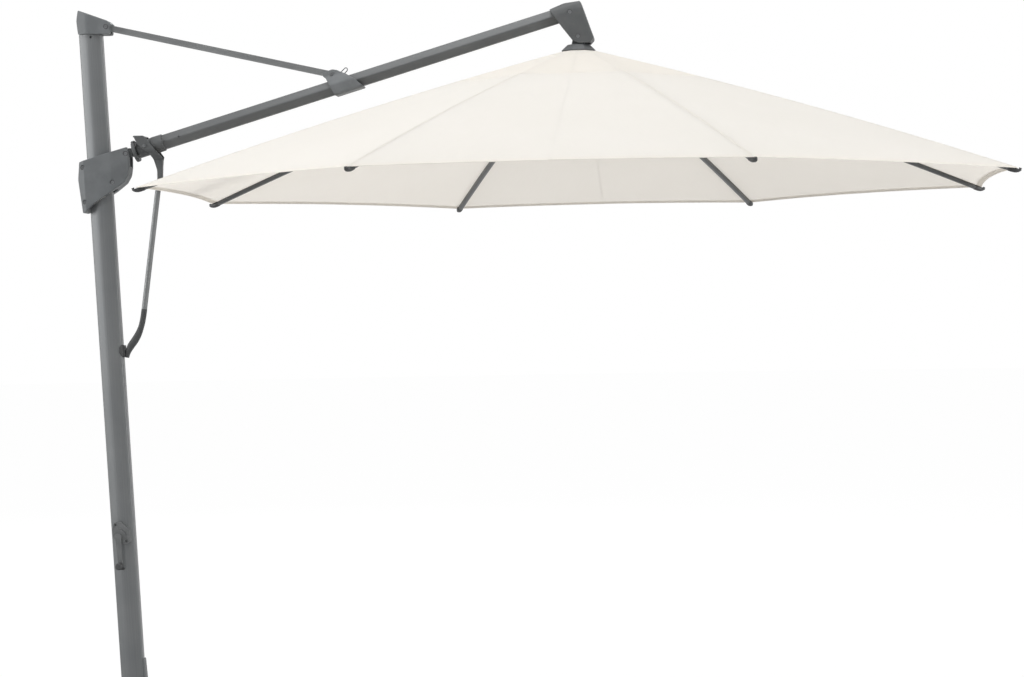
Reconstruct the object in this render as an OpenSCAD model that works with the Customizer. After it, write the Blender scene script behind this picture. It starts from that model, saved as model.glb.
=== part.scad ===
// Cantilever parasol with a leaning mast, a sliding carriage and a tilting, folding canopy.
// Frame: origin under the foot on the swivel axis, +Z up, +X from the mast towards the canopy.
// Everything is drawn open, with the tilt lever parked on the mast.

/* [Canopy] */
// Circumradius of the open canopy at its rib tips
canopy_r = 1750; // [1600:10:1800]
// Distance from the swivel axis to the canopy's axis
canopy_x = 1797; // [1780:1:1810]
// Height of the rib tips over the ground
rim_z = 2050; // [2000:10:2090]
// Height of the cloth where it meets the crown cap
crown_z = 2581; // [2575:1:2581]
// How far the ribs bow upwards between hub and tip
rib_bow = 17; // [8:1:24]
// Width of a rib
rib_w = 20; // [16:1:22]
// Height of a rib
rib_h = 16; // [14:1:18]
// How far the hem curves inwards between two tips
hem_curve = 26; // [10:2:40]
// How far each cloth panel hangs in between its ribs
panel_sag = 14; // [4:1:20]

/* [Mast] */
// Lean of the mast away from the canopy, in degrees
mast_lean = 2.78; // [2.5:0.01:3]
// Mast profile, front to back
mast_w = 92.5; // [90:0.5:96]
// Mast profile, side to side
mast_d = 77; // [74:1:80]
// Wall of the mast profile
mast_wall = 3; // [2.5:0.5:4]
// Length of the mast profile, measured up the mast
mast_len = 2714; // [2708:1:2718]

/* [Arm] */
// Angle of the arm over the horizontal
arm_angle = 16.13; // [15.5:0.01:16.5]
// Arm profile height
arm_h = 58; // [54:1:60]
// Arm profile width
arm_d = 46; // [42:1:50]
// Distance from the carriage pivot to the tie rod's pivot, along the arm
bracket_s = 872; // [868:1:876]
// Height of the tie rod's pivot over the arm's axis
bracket_n = 53; // [51:1:55]

/* [Foot] */
// Side of the square ground plate
plate_w = 300; // [280:10:320]
// Distance between the bolt holes
bolt_spacing = 240; // [220:10:250]
// Diameter of the bolt holes
bolt_hole_d = 13.5; // [11:0.5:14]

/* [Hidden] */
$fn = 48;

casting_colour = "#66686a";
mast_colour = "#7d7f80";
plastic_colour = "#404244";
cloth_colour = "#f3f2ec";
steel_colour = "#b4b6b8";

// Clearances: a running fit, a seated fit, and the gap that lets the carriage follow the arm's arc
run = 0.05;
seat = 0.02;
glide_gap = 2.2;

// ---------- Shared functions and shapes ----------

function unit(v) = v / norm(v);

// Arc of radius r that rounds the corner at b between a and c, in n steps
function corner(a, b, c, r, n) =
    let (u = unit(a - b),
         v = unit(c - b),
         half = acos(u * v) / 2,
         centre = b + unit(u + v) * r / sin(half),
         p = b + u * r / tan(half),
         q = b + v * r / tan(half),
         from = atan2(p.y - centre.y, p.x - centre.x),
         to = atan2(q.y - centre.y, q.x - centre.x),
         turn = (to - from + 540) % 360 - 180)
    r == 0 ? [b] : [for (i = [0:n]) centre + r * [cos(from + turn * i / n), sin(from + turn * i / n)]];

// Outline from [x, y, corner radius] rows
function rounded(rows, n = 5) =
    let (m = len(rows), p = [for (row = rows) [row.x, row.y]])
    [for (i = [0:m - 1]) each corner(p[(i + m - 1) % m], p[i], p[(i + 1) % m], rows[i][2], n)];

// Six-sided profile from back to front, with a soft ridge along both long sides
function ridged_profile(back, front, ridge, d, end, r_end, r_ridge) = rounded([
    [front, end, r_end], [ridge, d / 2, r_ridge], [back, end, r_end],
    [back, -end, r_end], [ridge, -d / 2, r_ridge], [front, -end, r_end]]);

// The mast's profile: a little more of it lies behind the swivel axis, and its ridge ahead of it
mast_back = -49.5;
mast_ridge = 7;
function mast_outline(grow = 0) =
    ridged_profile(mast_back - grow, mast_back + mast_w + grow, mast_ridge,
                   mast_d + 2 * grow, 17 + grow * 0.6, 9, 60);

function arm_outline(grow = 0) =
    ridged_profile(-arm_h / 2 - grow, arm_h / 2 + grow, 0, arm_d + 2 * grow, 10.5 + grow * 0.5, 6, 9);

// A shape drawn in the X-Z plane, given thickness from y0 to y1
module slab(y0, y1) {
    translate([0, y1, 0]) rotate([90, 0, 0]) linear_extrude(y1 - y0) children();
}

// A shape drawn in the Y-Z plane, given length from x0 to x1
module across(x0, x1) {
    translate([x0, 0, 0]) rotate([90, 0, 90]) linear_extrude(x1 - x0) children();
}

// A round bar across the object, from y0 to y1
module bar(x, z, d, y0, y1) {
    translate([x, y1, z]) rotate([90, 0, 0]) cylinder(d = d, h = y1 - y0);
}

module on_mast() {
    rotate([0, -mast_lean, 0]) children();
}

module on_arm() {
    on_mast() translate([arm_pivot.x, 0, arm_pivot.y]) rotate([0, mast_lean - arm_angle, 0]) children();
}

// A solid along the arm's axis with its profile's long side upright
module along_arm(from, to) {
    translate([from, 0, 0]) rotate([0, 90, 0]) linear_extrude(to - from) children();
}

// A bolt across the object: a shank with a low round head on both ends, each with a socket
module through_bolt(x, z, d, y0, y1, head_d) {
    head_h = 3;
    socket_d = 7;
    difference() {
        union() {
            bar(x, z, d, y0, y1);
            bar(x, z, head_d, y0 - head_h, y0);
            bar(x, z, head_d, y1, y1 + head_h);
        }
        translate([x, y0 - head_h, z]) rotate([-90, 0, 0]) cylinder(d = socket_d, h = 2, $fn = 4);
        translate([x, y1 + head_h, z]) rotate([90, 0, 0]) cylinder(d = socket_d, h = 2, $fn = 4);
    }
}

// ---------- Places that several pieces share, in the mast's own frame ----------

head_pivot = [66.3, 2726];
arm_pivot = [110.9, 2222.2];
lever_s = 83;
lever_n = 5;
canopy_pivot = [canopy_x, 2636];

// From the mast's frame to the object's
function off_mast(p) = [p.x * cos(mast_lean) - p.y * sin(mast_lean),
    p.x * sin(mast_lean) + p.y * cos(mast_lean)];
rod_a = off_mast(head_pivot);
arm_c = off_mast(arm_pivot);
rod_b = arm_c + [bracket_s * cos(arm_angle) - bracket_n * sin(arm_angle),
                 bracket_s * sin(arm_angle) + bracket_n * cos(arm_angle)];
rod_len = norm(rod_b - rod_a);
rod_drop = atan2(rod_a.y - rod_b.y, rod_b.x - rod_a.x);

// From the object's frame to the arm's
function to_arm(p) =
    let (d = p - arm_c)
    [d.x * cos(arm_angle) + d.y * sin(arm_angle), d.y * cos(arm_angle) - d.x * sin(arm_angle)];

// ---------- Foot ----------

flange_t = 12;
spindle_d = 44;
spindle_top = 360;
ring_z = 26;

module base_flange() {
    color(casting_colour) difference() {
        linear_extrude(flange_t) polygon(rounded([
            [plate_w / 2, plate_w / 2, 25], [-plate_w / 2, plate_w / 2, 25],
            [-plate_w / 2, -plate_w / 2, 25], [plate_w / 2, -plate_w / 2, 25]], 8));
        for (x = [-1, 1], y = [-1, 1])
            translate([x * bolt_spacing / 2, y * bolt_spacing / 2, -1]) cylinder(d = bolt_hole_d,
                h = flange_t + 2);
        translate([0, 0, -1]) cylinder(d = spindle_d + 2 * seat, h = flange_t + 2);
    }
}

module swivel_spindle() {
    color(steel_colour) rotate_extrude() polygon([
        [0, 0], [spindle_d / 2, 0], [spindle_d / 2, spindle_top - 6],
        [spindle_d / 2 - 6, spindle_top], [0, spindle_top]]);
}

module brake_ring() {
    color(steel_colour) translate([0, 0, flange_t]) difference() {
        cylinder(d = 150, h = ring_z - flange_t);
        translate([0, 0, -1]) cylinder(d = spindle_d + 2 * seat, h = 40);
    }
}

// ---------- Mast ----------

crank_pivot = [-15, 717];
mast_bottom = 36;
plug_screw = [2, 2690];
head_seat = 34;

module mast_tube() {
    color(mast_colour) on_mast() difference() {
        translate([0, 0, mast_bottom]) linear_extrude(mast_len - mast_bottom) polygon(mast_outline());
        translate([0, 0, mast_bottom - 1]) linear_extrude(mast_len) polygon(mast_outline(-mast_wall));
        bar(plug_screw.x, plug_screw.y, 11, -mast_d, 0);
        bar(crank_pivot.x, crank_pivot.y, 20, -mast_d, 0);
    }
}

// Cast shoe round the mast's lower end, with the pedal's housing up its front
module mast_foot() {
    color(plastic_colour) difference() {
        union() {
            translate([0, 0, ring_z + 3]) linear_extrude(106) polygon(mast_outline(8));
            slab(-19, 19) polygon(rounded([
                [30, 29, 0], [96, 29, 10], [100, 90, 12], [86, 119, 8], [45, 136, 16], [37, 232, 2],
                [28, 232, 0]]));
        }
        on_mast() translate([0, 0, mast_bottom]) linear_extrude(400) polygon(mast_outline(seat));
        cylinder(d = spindle_d + 2, h = 80);
        slab(-15, 15) polygon([[58, 20], [120, 20], [120, 112], [58, 112]]);
        bar(82, 84, 8 + 2 * seat, -40, 40);
    }
}

// Two blocks inside the mast that turn on the spindle
module swivel_bushes() {
    color(steel_colour) for (z = [60, 300])
        difference() {
            on_mast() translate([0, 0, z]) linear_extrude(45) polygon(mast_outline(-mast_wall - seat));
            cylinder(d = spindle_d + 2 * run, h = 500);
        }
}

// Cap with two cheeks that hold the tie rod's end, and a plug down inside the mast
module mast_head() {
    plug_len = 60;
    cheek_gap = 17.6;
    color(casting_colour) on_mast() difference() {
        union() {
            difference() {
                intersection() {
                    slab(-43, 43) polygon(rounded([
                        [-44, 2800, 4], [-54.5, 2757, 16], [-49.5, 2704.5, 4],
                        [79, 2696, 7], [80.5, 2722, 6], [87, 2736, 5], [73, 2750, 8]]));
                    translate([0, 0, 2600]) linear_extrude(260) polygon(rounded([
                        [-54.5, 24, 12], [-10, 42, 40], [60, 38, 30], [90, 33, 8],
                        [90, -33, 8], [60, -38, 30], [-10, -42, 40], [-54.5, -24, 12]]));
                }
                translate([0, 0, 2600]) linear_extrude(mast_len - 2600) polygon(mast_outline(seat));
            }
            translate([0, 0, mast_len - plug_len]) linear_extrude(plug_len + 1) polygon(mast_outline(-mast_wall - seat));
        }
        slab(-cheek_gap / 2, cheek_gap / 2) polygon([[51, 2640], [110, 2640], [110, 2760], [50, 2760]]);
        bar(head_pivot.x, head_pivot.y, 10 + 2 * seat, -50, 50);
        bar(plug_screw.x, plug_screw.y, 5, -mast_d, 0);
        head_recess(head_pivot.x, head_pivot.y, head_seat);
    }
}

module rod_head_pin() {
    color(steel_colour) on_mast() through_bolt(head_pivot.x, head_pivot.y, 10, -head_seat, head_seat,
        head_d);
}

// Teardrop housing on the mast's side, scribed with the crank's sweep
module crank_housing() {
    groove_r = 32;
    color(plastic_colour) on_mast() difference() {
        slab(-46, -20) polygon(rounded([
            [-37, 712, 14], [-38, 758, 14], [-27, 775, 9], [-4, 775, 16], [26.5, 748, 18],
            [34, 694, 7], [10, 684, 8]]));
        translate([0, 0, 600]) linear_extrude(300) polygon(mast_outline(seat));
        bar(crank_pivot.x, crank_pivot.y, 16 + 2 * run, -60, 0);
        slab(-50, -44) difference() {
            translate(crank_pivot) circle(r = groove_r + 1.5);
            translate(crank_pivot) circle(r = groove_r - 1.5);
            translate(crank_pivot + [-80, -80]) square([84, 200]);
            translate(crank_pivot + [-80, -80]) square([160, 84]);
        }
        for (p = [[-24, 764], [16, 698]])
            bar(p.x, p.y, 10, -60, -41);
    }
}

// Rope drum behind the housing, on the crank's axle
module rope_drum() {
    color(steel_colour) on_mast() translate([crank_pivot.x, 17, crank_pivot.y]) rotate([90, 0, 0])
        rotate_extrude() polygon([
            [0, 0], [19, 0], [19, 3], [13, 6], [13, 28], [19, 31], [19, 34], [8, 34], [8, 66], [0, 66]]);
}

knob_at = crank_pivot + [3, -114.5];

module crank_arm() {
    eye_r = 14;
    tail_r = 8.5;
    waist = crank_pivot + [1, -26];
    color(plastic_colour) on_mast() difference() {
        union() {
            bar(crank_pivot.x, crank_pivot.y, 26, -52, -46.5);
            slab(-57, -51) {
                translate(crank_pivot) circle(r = eye_r);
                polygon([crank_pivot + [-eye_r, 4], waist + [-11, 0], knob_at - [tail_r, 0],
                         knob_at + [tail_r, 0], waist + [11, 0], crank_pivot + [eye_r, 4]]);
                translate(knob_at) circle(r = tail_r);
            }
        }
        bar(crank_pivot.x, crank_pivot.y, 16 + 2 * seat, -49, -40);
        bar(knob_at.x, knob_at.y, 8 + 2 * run, -70, -40);
    }
}

// Turning knob at the crank's end, with its thumb lip
module crank_knob() {
    color(plastic_colour) on_mast() translate([knob_at.x, -48.5, knob_at.y]) {
        rotate([90, 0, 0]) rotate_extrude() polygon([
            [0, 0], [4, 0], [4, 8.8], [13, 8.8], [14, 13], [12, 28], [14, 38], [10, 42], [0, 42]]);
        slab(-18, -9) polygon(rounded([[0, -13, 0], [16, -16, 3], [21, -10, 3], [12, -4, 4], [0, 0, 0]]));
    }
}

// Keeper that the parked lever rests against: a block on the mast's front with a lip round its side
module lever_clip() {
    lip = 1.9;
    front = 52;
    color(plastic_colour) on_mast() difference() {
        intersection() {
            slab(-40, 40) polygon(rounded([
                [31, 1440, 3], [33, 1462, 3], [41, 1472, 3], [front, 1469, 3], [front, 1429, 4],
                [45, 1418, 3]], 3));
            translate([0, 0, 1400]) linear_extrude(120) union() {
                polygon(mast_outline(lip));
                translate([30, -15]) square([front - 30, 30]);
            }
        }
        translate([0, 0, 1300]) linear_extrude(300) polygon(mast_outline(seat));
    }
}

// ---------- Foot brake ----------

pedal_pivot = [82, 84];

module pedal_pin() {
    color(steel_colour) bar(pedal_pivot.x, pedal_pivot.y, 8, -19, 19);
}

// Pedal with a brake shoe over the ring and a tread in front of the mast
module foot_pedal() {
    color(plastic_colour) difference() {
        union() {
            slab(-14, 14) polygon(rounded([
                [74, 92, 5], [70.5, 50, 3], [70.5, 31, 2], [88, 28, 4], [93, 60, 6], [112, 84, 12],
                [176, 96, 4], [174, 104, 4], [112, 99, 14], [88, 98, 6]]));
            slab(-34, 34) polygon(rounded([[128, 86, 3], [178, 95, 4], [176, 105, 4], [126, 98, 3]]));
        }
        bar(pedal_pivot.x, pedal_pivot.y, 8 + 2 * run, -40, 40);
    }
}

// Tube swept along a list of points, round with the given number of sides; it never runs along up
module sweep(path, d, up = [0, 0, 1], sides = 8) {
    n = len(path);
    function along(k) = unit(path[min(k + 1, n - 1)] - path[max(k - 1, 0)]);
    function beside(k) = unit(cross(along(k), up));
    ring = [for (k = [0:n - 1], j = [0:sides - 1])
        path[k] + d / 2 * (cos(360 * j / sides) * beside(k) + sin(360 * j / sides) * cross(along(k),
            beside(k)))];
    skin = [for (k = [0:n - 2], j = [0:sides - 1])
        [k * sides + j, (k + 1) * sides + j, (k + 1) * sides + (j + 1) % sides,
        k * sides + (j + 1) % sides]];
    start = [for (j = [0:sides - 1]) j];
    end = [for (j = [sides - 1:-1:0]) (n - 1) * sides + j];
    polyhedron(ring, concat([start, end], skin), convexity = 6);
}

// Return spring that the pedal's heel squeezes against the housing
module pedal_spring() {
    turns = 3;
    steps = 14;
    color(steel_colour) sweep([for (k = [0:turns * steps])
        [76 + 4.5 * cos(360 * k / steps), 4.5 * sin(360 * k / steps),
        101 + 9.8 * k / (turns * steps)]], 1.6);
}

// ---------- Tie rod ----------

module tie_rod() {
    bar_top = 11;
    bar_low = 13.5;
    bar_h = bar_top + bar_low;
    bar_d = 15;
    eye_r = 14;
    color(mast_colour) translate([rod_a.x, 0, rod_a.y]) rotate([0, rod_drop, 0]) difference() {
        union() {
            slab(-bar_d / 2, bar_d / 2) translate([14, -bar_low]) square([rod_len - 34, bar_h]);
            slab(-8, 8) circle(r = eye_r);
            slab(-8, 8) translate([0, -bar_low]) square([24, bar_h]);
            bar(rod_len, 0, 2 * eye_r, -8, 8);
            slab(-8, 8) translate([rod_len - 28, -bar_low]) square([28, bar_h]);
        }
        for (side = [-1, 1], z = [-5, 0, 5])
            translate([24, side * (bar_d / 2 + 0.6) - 1, z - 0.8]) cube([rod_len - 52, 2, 1.6]);
        bar(0, 0, 10 + 2 * run, -20, 20);
        bar(rod_len, 0, 10 + 2 * run, -20, 20);
    }
}

// ---------- Parts of the arm that do not roll ----------

bearing_d = 64;
collar_d = 86;

// Blade-shaped casting that rides on the arm's bearings and holds the tie rod's end
module arm_bracket() {
    color(casting_colour) on_arm() difference() {
        intersection() {
            slab(-44, 44) polygon(rounded([
                [838, 52, 3], [838, 65, 3], [850, 67.5, 6], [880, 70, 16], [898, 61, 16], [930, 34, 24],
                [957, 5, 30], [981, -33, 3], [976, -35.5, 2], [864, -35.5, 3], [846, 42, 6]]));
            translate([800, 0, 0]) rotate([0, 90, 0]) linear_extrude(240) polygon(rounded([
                [-80, 17, 3], [-46, 20, 30], [-8, 42, 20], [30, 40, 10], [40, 26, 8],
                [40, -26, 8], [30, -40, 10], [-8, -42, 20], [-46, -20, 30], [-80, -17, 3]]));
        }
        along_arm(800, 1040) circle(d = bearing_d + 2 * run);
        slab(-8.6, 8.6) polygon([[800, 30], [900, 30], [900, 100], [800, 100]]);
        bar(bracket_s, bracket_n, 10 + 2 * seat, -50, 50);
        for (p = [loop_path[0], loop_path[len(loop_path) - 1]])
            strut_bar(p - loop_dir, p + 30 * loop_dir, loop_wire + 0.4);
    }
}

module bracket_pin() {
    color(steel_colour) on_arm() through_bolt(bracket_s, bracket_n, 10, -20.8, 20.8, 13);
}

// Bent wire eye that stands up from the bracket's back, its two legs seated in sockets
loop_wire = 4;
loop_dir = [cos(28), sin(28)];
loop_path = [[905, 48.6], [927, 60.3], [932.5, 61], [936, 57.5], [936, 51.5], [932.5, 47.5], [916, 38.7]];

module bracket_loop() {
    color(steel_colour) on_arm() sweep([for (p = loop_path) [p.x, 0, p.y]], loop_wire, [0, 1, 0]);
}

// Pivot eye in the carriage with the stub axle that the arm rolls on
module arm_root() {
    color(casting_colour) on_arm() difference() {
        union() {
            slab(-18, 18) polygon(rounded([[-16, 16, 15], [-16, -16, 15], [22, -16, 0], [22, 16, 0]]));
            along_arm(20, 150) circle(d = 36);
        }
        bar(0, 0, 12 + 2 * run, -40, 40);
    }
}

// Index collar for the sideways tilt, with its notches round the rim
module tilt_collar() {
    color(casting_colour) on_arm() difference() {
        along_arm(30, 43) circle(d = collar_d);
        along_arm(28, 50) circle(d = 36 + 2 * seat);
        for (a = [-40:20:40])
            rotate([a, 0, 0]) translate([28, -3, collar_d / 2 - 3]) cube([20, 6, 8]);
    }
}

// ---------- Rolling arm ----------

canopy_pin_at = to_arm(canopy_pivot);
arm_end = 1868;
clamp_at = [1835, -4];

module arm_tube() {
    color(mast_colour) on_arm() difference() {
        along_arm(154, arm_end) polygon(arm_outline());
        along_arm(150, arm_end + 4) polygon(arm_outline(-3));
        for (s = [160, 222])
            bar(s, 2, 6, -arm_d, 0);
        bar(clamp_at.x, clamp_at.y, 8 + 2 * seat, -60, 60);
    }
}

// Plastic rings on the arm inside the bracket
module arm_bearings() {
    color(plastic_colour) on_arm() for (s = [868, 902])
        difference() {
            along_arm(s, s + 22) circle(d = bearing_d);
            along_arm(s - 1, s + 23) polygon(arm_outline(seat));
        }
}

// Stepped sleeve that joins the arm to its stub axle
module root_sleeve() {
    color(casting_colour) on_arm() difference() {
        union() {
            translate([48, 0, 0]) rotate([0, 90, 0]) rotate_extrude() polygon([
                [0, 0], [30, 0], [32, 2], [32, 58], [34, 62], [34, 104], [33, 106], [0, 106]]);
            along_arm(150, 190) polygon(arm_outline(-3 - seat));
        }
        along_arm(40, 150.5) circle(d = 36 + 2 * run);
        along_arm(150, 200) circle(d = 30);
        for (side = [-1, 1])
            bar(lever_s, lever_n, 8 + 2 * seat, side * 28 - 12, side * 28 + 12);
    }
}

// Boot-shaped casting that carries the canopy under the arm's end
module head_bracket() {
    color(casting_colour) on_arm() difference() {
        intersection() {
            slab(-48, 48) polygon(rounded([
                [1762, 31, 3], [1822, 38, 60], [1883, 27, 3], [1886.5, 19, 4], [1894, -130, 13],
                [1873, -143, 5],
                [1832, -129.5, 8], [1814.5, -113, 6], [1784, -36, 8], [1762, 24, 2]]));
            translate([1700, 0, 0]) rotate([0, 90, 0]) linear_extrude(240) polygon(rounded([
                [-40, 18, 12], [-20, 38, 20], [0, 44, 30], [60, 45, 30], [150, 46, 8],
                [150, -46, 8], [60, -45, 30], [0, -44, 30], [-20, -38, 20], [-40, -18, 12]]));
        }
        along_arm(1700, arm_end + seat) polygon(arm_outline(seat));
        slab(-30, 30) polygon([[1760, -38], [1873, -38], [1873, -160], [1760, -160]]);
        bar(canopy_pin_at.x, canopy_pin_at.y, 12 + 2 * seat, -60, 60);
        head_recess(canopy_pin_at.x, canopy_pin_at.y, 42);
        bar(clamp_at.x, clamp_at.y, 8 + 2 * seat, -60, 60);
        head_recess(clamp_at.x, clamp_at.y, 40.4);
    }
}

module head_bolts() {
    color(steel_colour) on_arm() {
        through_bolt(canopy_pin_at.x, canopy_pin_at.y, 12, -42, 42, head_d);
        through_bolt(clamp_at.x, clamp_at.y, 8, -40.4, 40.4, head_d);
    }
}

// ---------- Tilt lever ----------

lever_from = [129, 2120];
lever_to = [60, 1611];
lever_down = unit(lever_to - lever_from);
lever_d = 22;
lever_bore = 18;

// Pivot screw on each side of the sleeve
module lever_pins() {
    color(steel_colour) on_arm() for (side = [-1, 1])
        difference() {
            union() {
                bar(lever_s, lever_n, 8, side * 32 - 12, side * 32 + 12);
                bar(lever_s, lever_n, 13, side * 45 - 1.5, side * 45 + 1.5);
            }
            translate([lever_s, side * 47, lever_n]) rotate([side * 90, 0, 0]) cylinder(d = 6, h = 3,
                $fn = 4);
        }
}

yoke_side = rounded([
    [34, 2288.5, 2], [39, 2294, 3], [76, 2293.5, 8], [88, 2286, 10], [98, 2268, 40], [147.5, 2209, 2],
    [144.5, 2170, 40], [142.5, 2112, 2], [124, 2114, 2], [124, 2158, 60], [110, 2203, 50],
    [96, 2226, 30], [74, 2242, 40], [51, 2262, 20], [40, 2287, 3]]);

yoke_fork = rounded([
    [43, 2300, 3], [43, 2235, 14], [12.5, 2196, 16], [12.5, 2100, 0],
    [-12.5, 2100, 0], [-12.5, 2196, 16], [-43, 2235, 14], [-43, 2300, 3]]);

yoke_gap = rounded([
    [37, 2288, 8], [37, 2237, 10], [9, 2200, 8], [-9, 2200, 8], [-37, 2237, 10], [-37, 2288, 8]]);

// Stirrup over the sleeve: a hood across the top, a limb down each side that closes in under the
// sleeve, and a neck with a spigot into the lever's tube
module lever_yoke() {
    color(casting_colour) {
        difference() {
            intersection() {
                slab(-43, 43) polygon(yoke_side);
                across(0, 200) difference() {
                    polygon(yoke_fork);
                    polygon(yoke_gap);
                }
            }
            strut_bar(lever_from - 0.1 * lever_down, lever_to, lever_d + 4);
            on_arm() bar(lever_s, lever_n, 8 + 2 * run, -60, 60);
        }
        strut_bar(lever_from - 2 * lever_down, lever_from + 40 * lever_down, lever_bore - 2 * seat);
    }
}

// Round bar between two points of the X-Z plane
module strut_bar(p, q, d) {
    dir = q - p;
    translate([p.x, 0, p.y]) rotate([0, atan2(dir.x, dir.y), 0]) cylinder(d = d, h = norm(dir));
}

module lever_tube() {
    color(mast_colour) difference() {
        strut_bar(lever_from, lever_to, lever_d);
        strut_bar(lever_from - lever_down, lever_to + lever_down, lever_bore);
    }
}

// Moulded grip that curves in towards the mast, with a spigot up into the tube
module lever_grip() {
    steps = 10;
    heel = [6, 1477];
    bow = [lever_to + 0.5 * lever_down, lever_to + 60 * lever_down, [33, 1515], heel];
    foot = [heel, [-6, 1461], [-6, 1446], [-8, 1424]];
    path = concat([for (k = [0:steps]) bezier(bow, k / steps)],
        [for (k = [2:2:steps]) bezier(foot, k / steps)]);
    last = len(path) - 1;
    color(plastic_colour) {
        loft(path, [for (k = [0:last]) 22.5 - 4 * pow(k / last, 3)],
            [for (k = [0:last]) 23 - 3 * k / last]);
        strut_bar(lever_to - 30 * lever_down, lever_to + lever_down, lever_bore - 2 * seat);
    }
}

// Point on a curve with four control points
function bezier(c, t) =
    pow(1 - t, 3) * c[0] + 3 * t * pow(1 - t, 2) * c[1] + 3 * t * t * (1 - t) * c[2] + pow(t, 3) * c[3];

// Soft-cornered tube along a path in the X-Z plane, with a width and a depth at each point
module loft(path, widths, depths, sides = 16) {
    n = len(path);
    function along(k) = unit(path[min(k + 1, n - 1)] - path[max(k - 1, 0)]);
    function soft(v) = sign(v) * pow(abs(v), 0.7);
    ring = [for (k = [0:n - 1], j = [0:sides - 1])
        let (a = along(k), c = soft(cos(360 * j / sides)) * widths[k] / 2,
            y = soft(sin(360 * j / sides)) * depths[k] / 2)
        [path[k].x - a.y * c, y, path[k].y + a.x * c]];
    skin = [for (k = [0:n - 2], j = [0:sides - 1])
        [k * sides + j, k * sides + (j + 1) % sides, (k + 1) * sides + (j + 1) % sides,
        (k + 1) * sides + j]];
    start = [for (j = [sides - 1:-1:0]) j];
    end = [for (j = [0:sides - 1]) (n - 1) * sides + j];
    polyhedron(ring, concat([start, end], skin), convexity = 6);
}

// ---------- Carriage ----------

carriage_side = rounded([
    [-77, 2201, 4], [-87.5, 2132, 60], [-74, 1998, 4], [-63, 2001, 6], [-29, 2031, 40], [54, 2079, 60],
    [98, 2108, 30], [116, 2135, 25], [124, 2168, 25], [127, 2204, 20], [124.5, 2228, 10],
    [118, 2248, 4]]);

carriage_plan = rounded([
    [-88, 26, 4], [-58, 46, 8], [50, 47, 60], [127, 32, 14],
    [127, -32, 14], [50, -47, 60], [-58, -46, 8], [-88, -26, 4]]);

// Bolts through both shells: place, and where their heads sit
carriage_bolt_places = [[-62, 2179, 35], [-61.5, 2042, 35]];
carriage_screw = [54, 2112, 41];
pivot_seat = 31;
head_d = 14;
recess_gap = 2;

// Channel up the carriage's inside that lets the lever's keeper pass
module keeper_channel() {
    translate([43, -17.5, 1900]) cube([18, 35, 400]);
}

module head_recess(x, z, seat_y) {
    for (side = [-1, 1])
        bar(x, z, head_d + 2 * recess_gap, min(side * seat_y, side * 80), max(side * seat_y, side * 80));
}

module carriage_shell(side) {
    color(casting_colour) on_mast() difference() {
        intersection() {
            slab(min(0, side * 60), max(0, side * 60)) polygon(carriage_side);
            translate([0, 0, 1900]) linear_extrude(400) polygon(carriage_plan);
        }
        translate([0, 0, 1900]) linear_extrude(400) polygon(mast_outline(glide_gap + 1.6));
        slab(-18.6, 18.6) polygon([[84, 2190], [160, 2150], [200, 2300], [84, 2300]]);
        keeper_channel();
        for (p = carriage_bolt_places) {
            bar(p.x, p.y, 8 + 2 * seat, -80, 80);
            head_recess(p.x, p.y, p[2]);
        }
        bar(carriage_screw.x, carriage_screw.y, 8 + 2 * seat, -80, 80);
        head_recess(carriage_screw.x, carriage_screw.y, carriage_screw[2]);
        bar(arm_pivot.x, arm_pivot.y, 12 + 2 * seat, -80, 80);
        head_recess(arm_pivot.x, arm_pivot.y, pivot_seat);
    }
}

module carriage_left() {
    carriage_shell(-1);
}

module carriage_right() {
    carriage_shell(1);
}

// Glide pads between the shells and the mast
module carriage_liners() {
    color(steel_colour) on_mast() for (z = [2030, 2150])
        intersection() {
            translate([0, 0, z]) difference() {
                linear_extrude(30) polygon(mast_outline(glide_gap + 1.6 - seat));
                translate([0, 0, -1]) linear_extrude(40) polygon(mast_outline(glide_gap));
                translate([0, 0, -z]) keeper_channel();
            }
            slab(-60, 60) polygon(carriage_side);
        }
}

module carriage_bolts() {
    color(steel_colour) on_mast() {
        for (p = carriage_bolt_places)
            through_bolt(p.x, p.y, 8, -p[2], p[2], head_d);
        through_bolt(arm_pivot.x, arm_pivot.y, 12, -pivot_seat, pivot_seat, head_d);
        difference() {
            through_bolt(carriage_screw.x, carriage_screw.y, 8, -carriage_screw[2], carriage_screw[2],
                head_d);
            bar(carriage_screw.x, carriage_screw.y, 20, -22, 22);
        }
    }
}

// ---------- Crown, hub and runner ----------

pivot_r = 62;
pin_d = 6;
rib_top_gap = 3;
cloth_t = 1.2;
hub_z = crown_z - rib_h / 2 - rib_top_gap - cloth_t - 1;
tip = [canopy_r - 12, rim_z - rib_h / 2 - rib_top_gap];
root = [pivot_r, hub_z];
chord = norm(tip - root);
rib_drop = atan2(root.y - tip.y, tip.x - root.x);
bow_r = (chord * chord / 4 + rib_bow * rib_bow) / (2 * rib_bow);
bow_half = asin(chord / 2 / bow_r);
bow_centre = (root + tip) / 2 - (bow_r - rib_bow) * [sin(rib_drop), cos(rib_drop)];

// Point of the rib's centre line at a share t of its length, raised by up
function on_rib(t, up = 0) =
    bow_centre + (bow_r + up) * [sin(rib_drop + bow_half * (2 * t - 1)),
        cos(rib_drop + bow_half * (2 * t - 1))];

brace_at = on_rib(0.32);
brace_len = norm(brace_at - root);
brace_drop = atan2(root.y - brace_at.y, brace_at.x - root.x);
runner_z = hub_z - 2 * brace_len * sin(brace_drop);

module at_rib(i) {
    translate([canopy_x, 0, 0]) rotate([0, 0, 22.5 + 45 * (i - 1)]) children();
}

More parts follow.
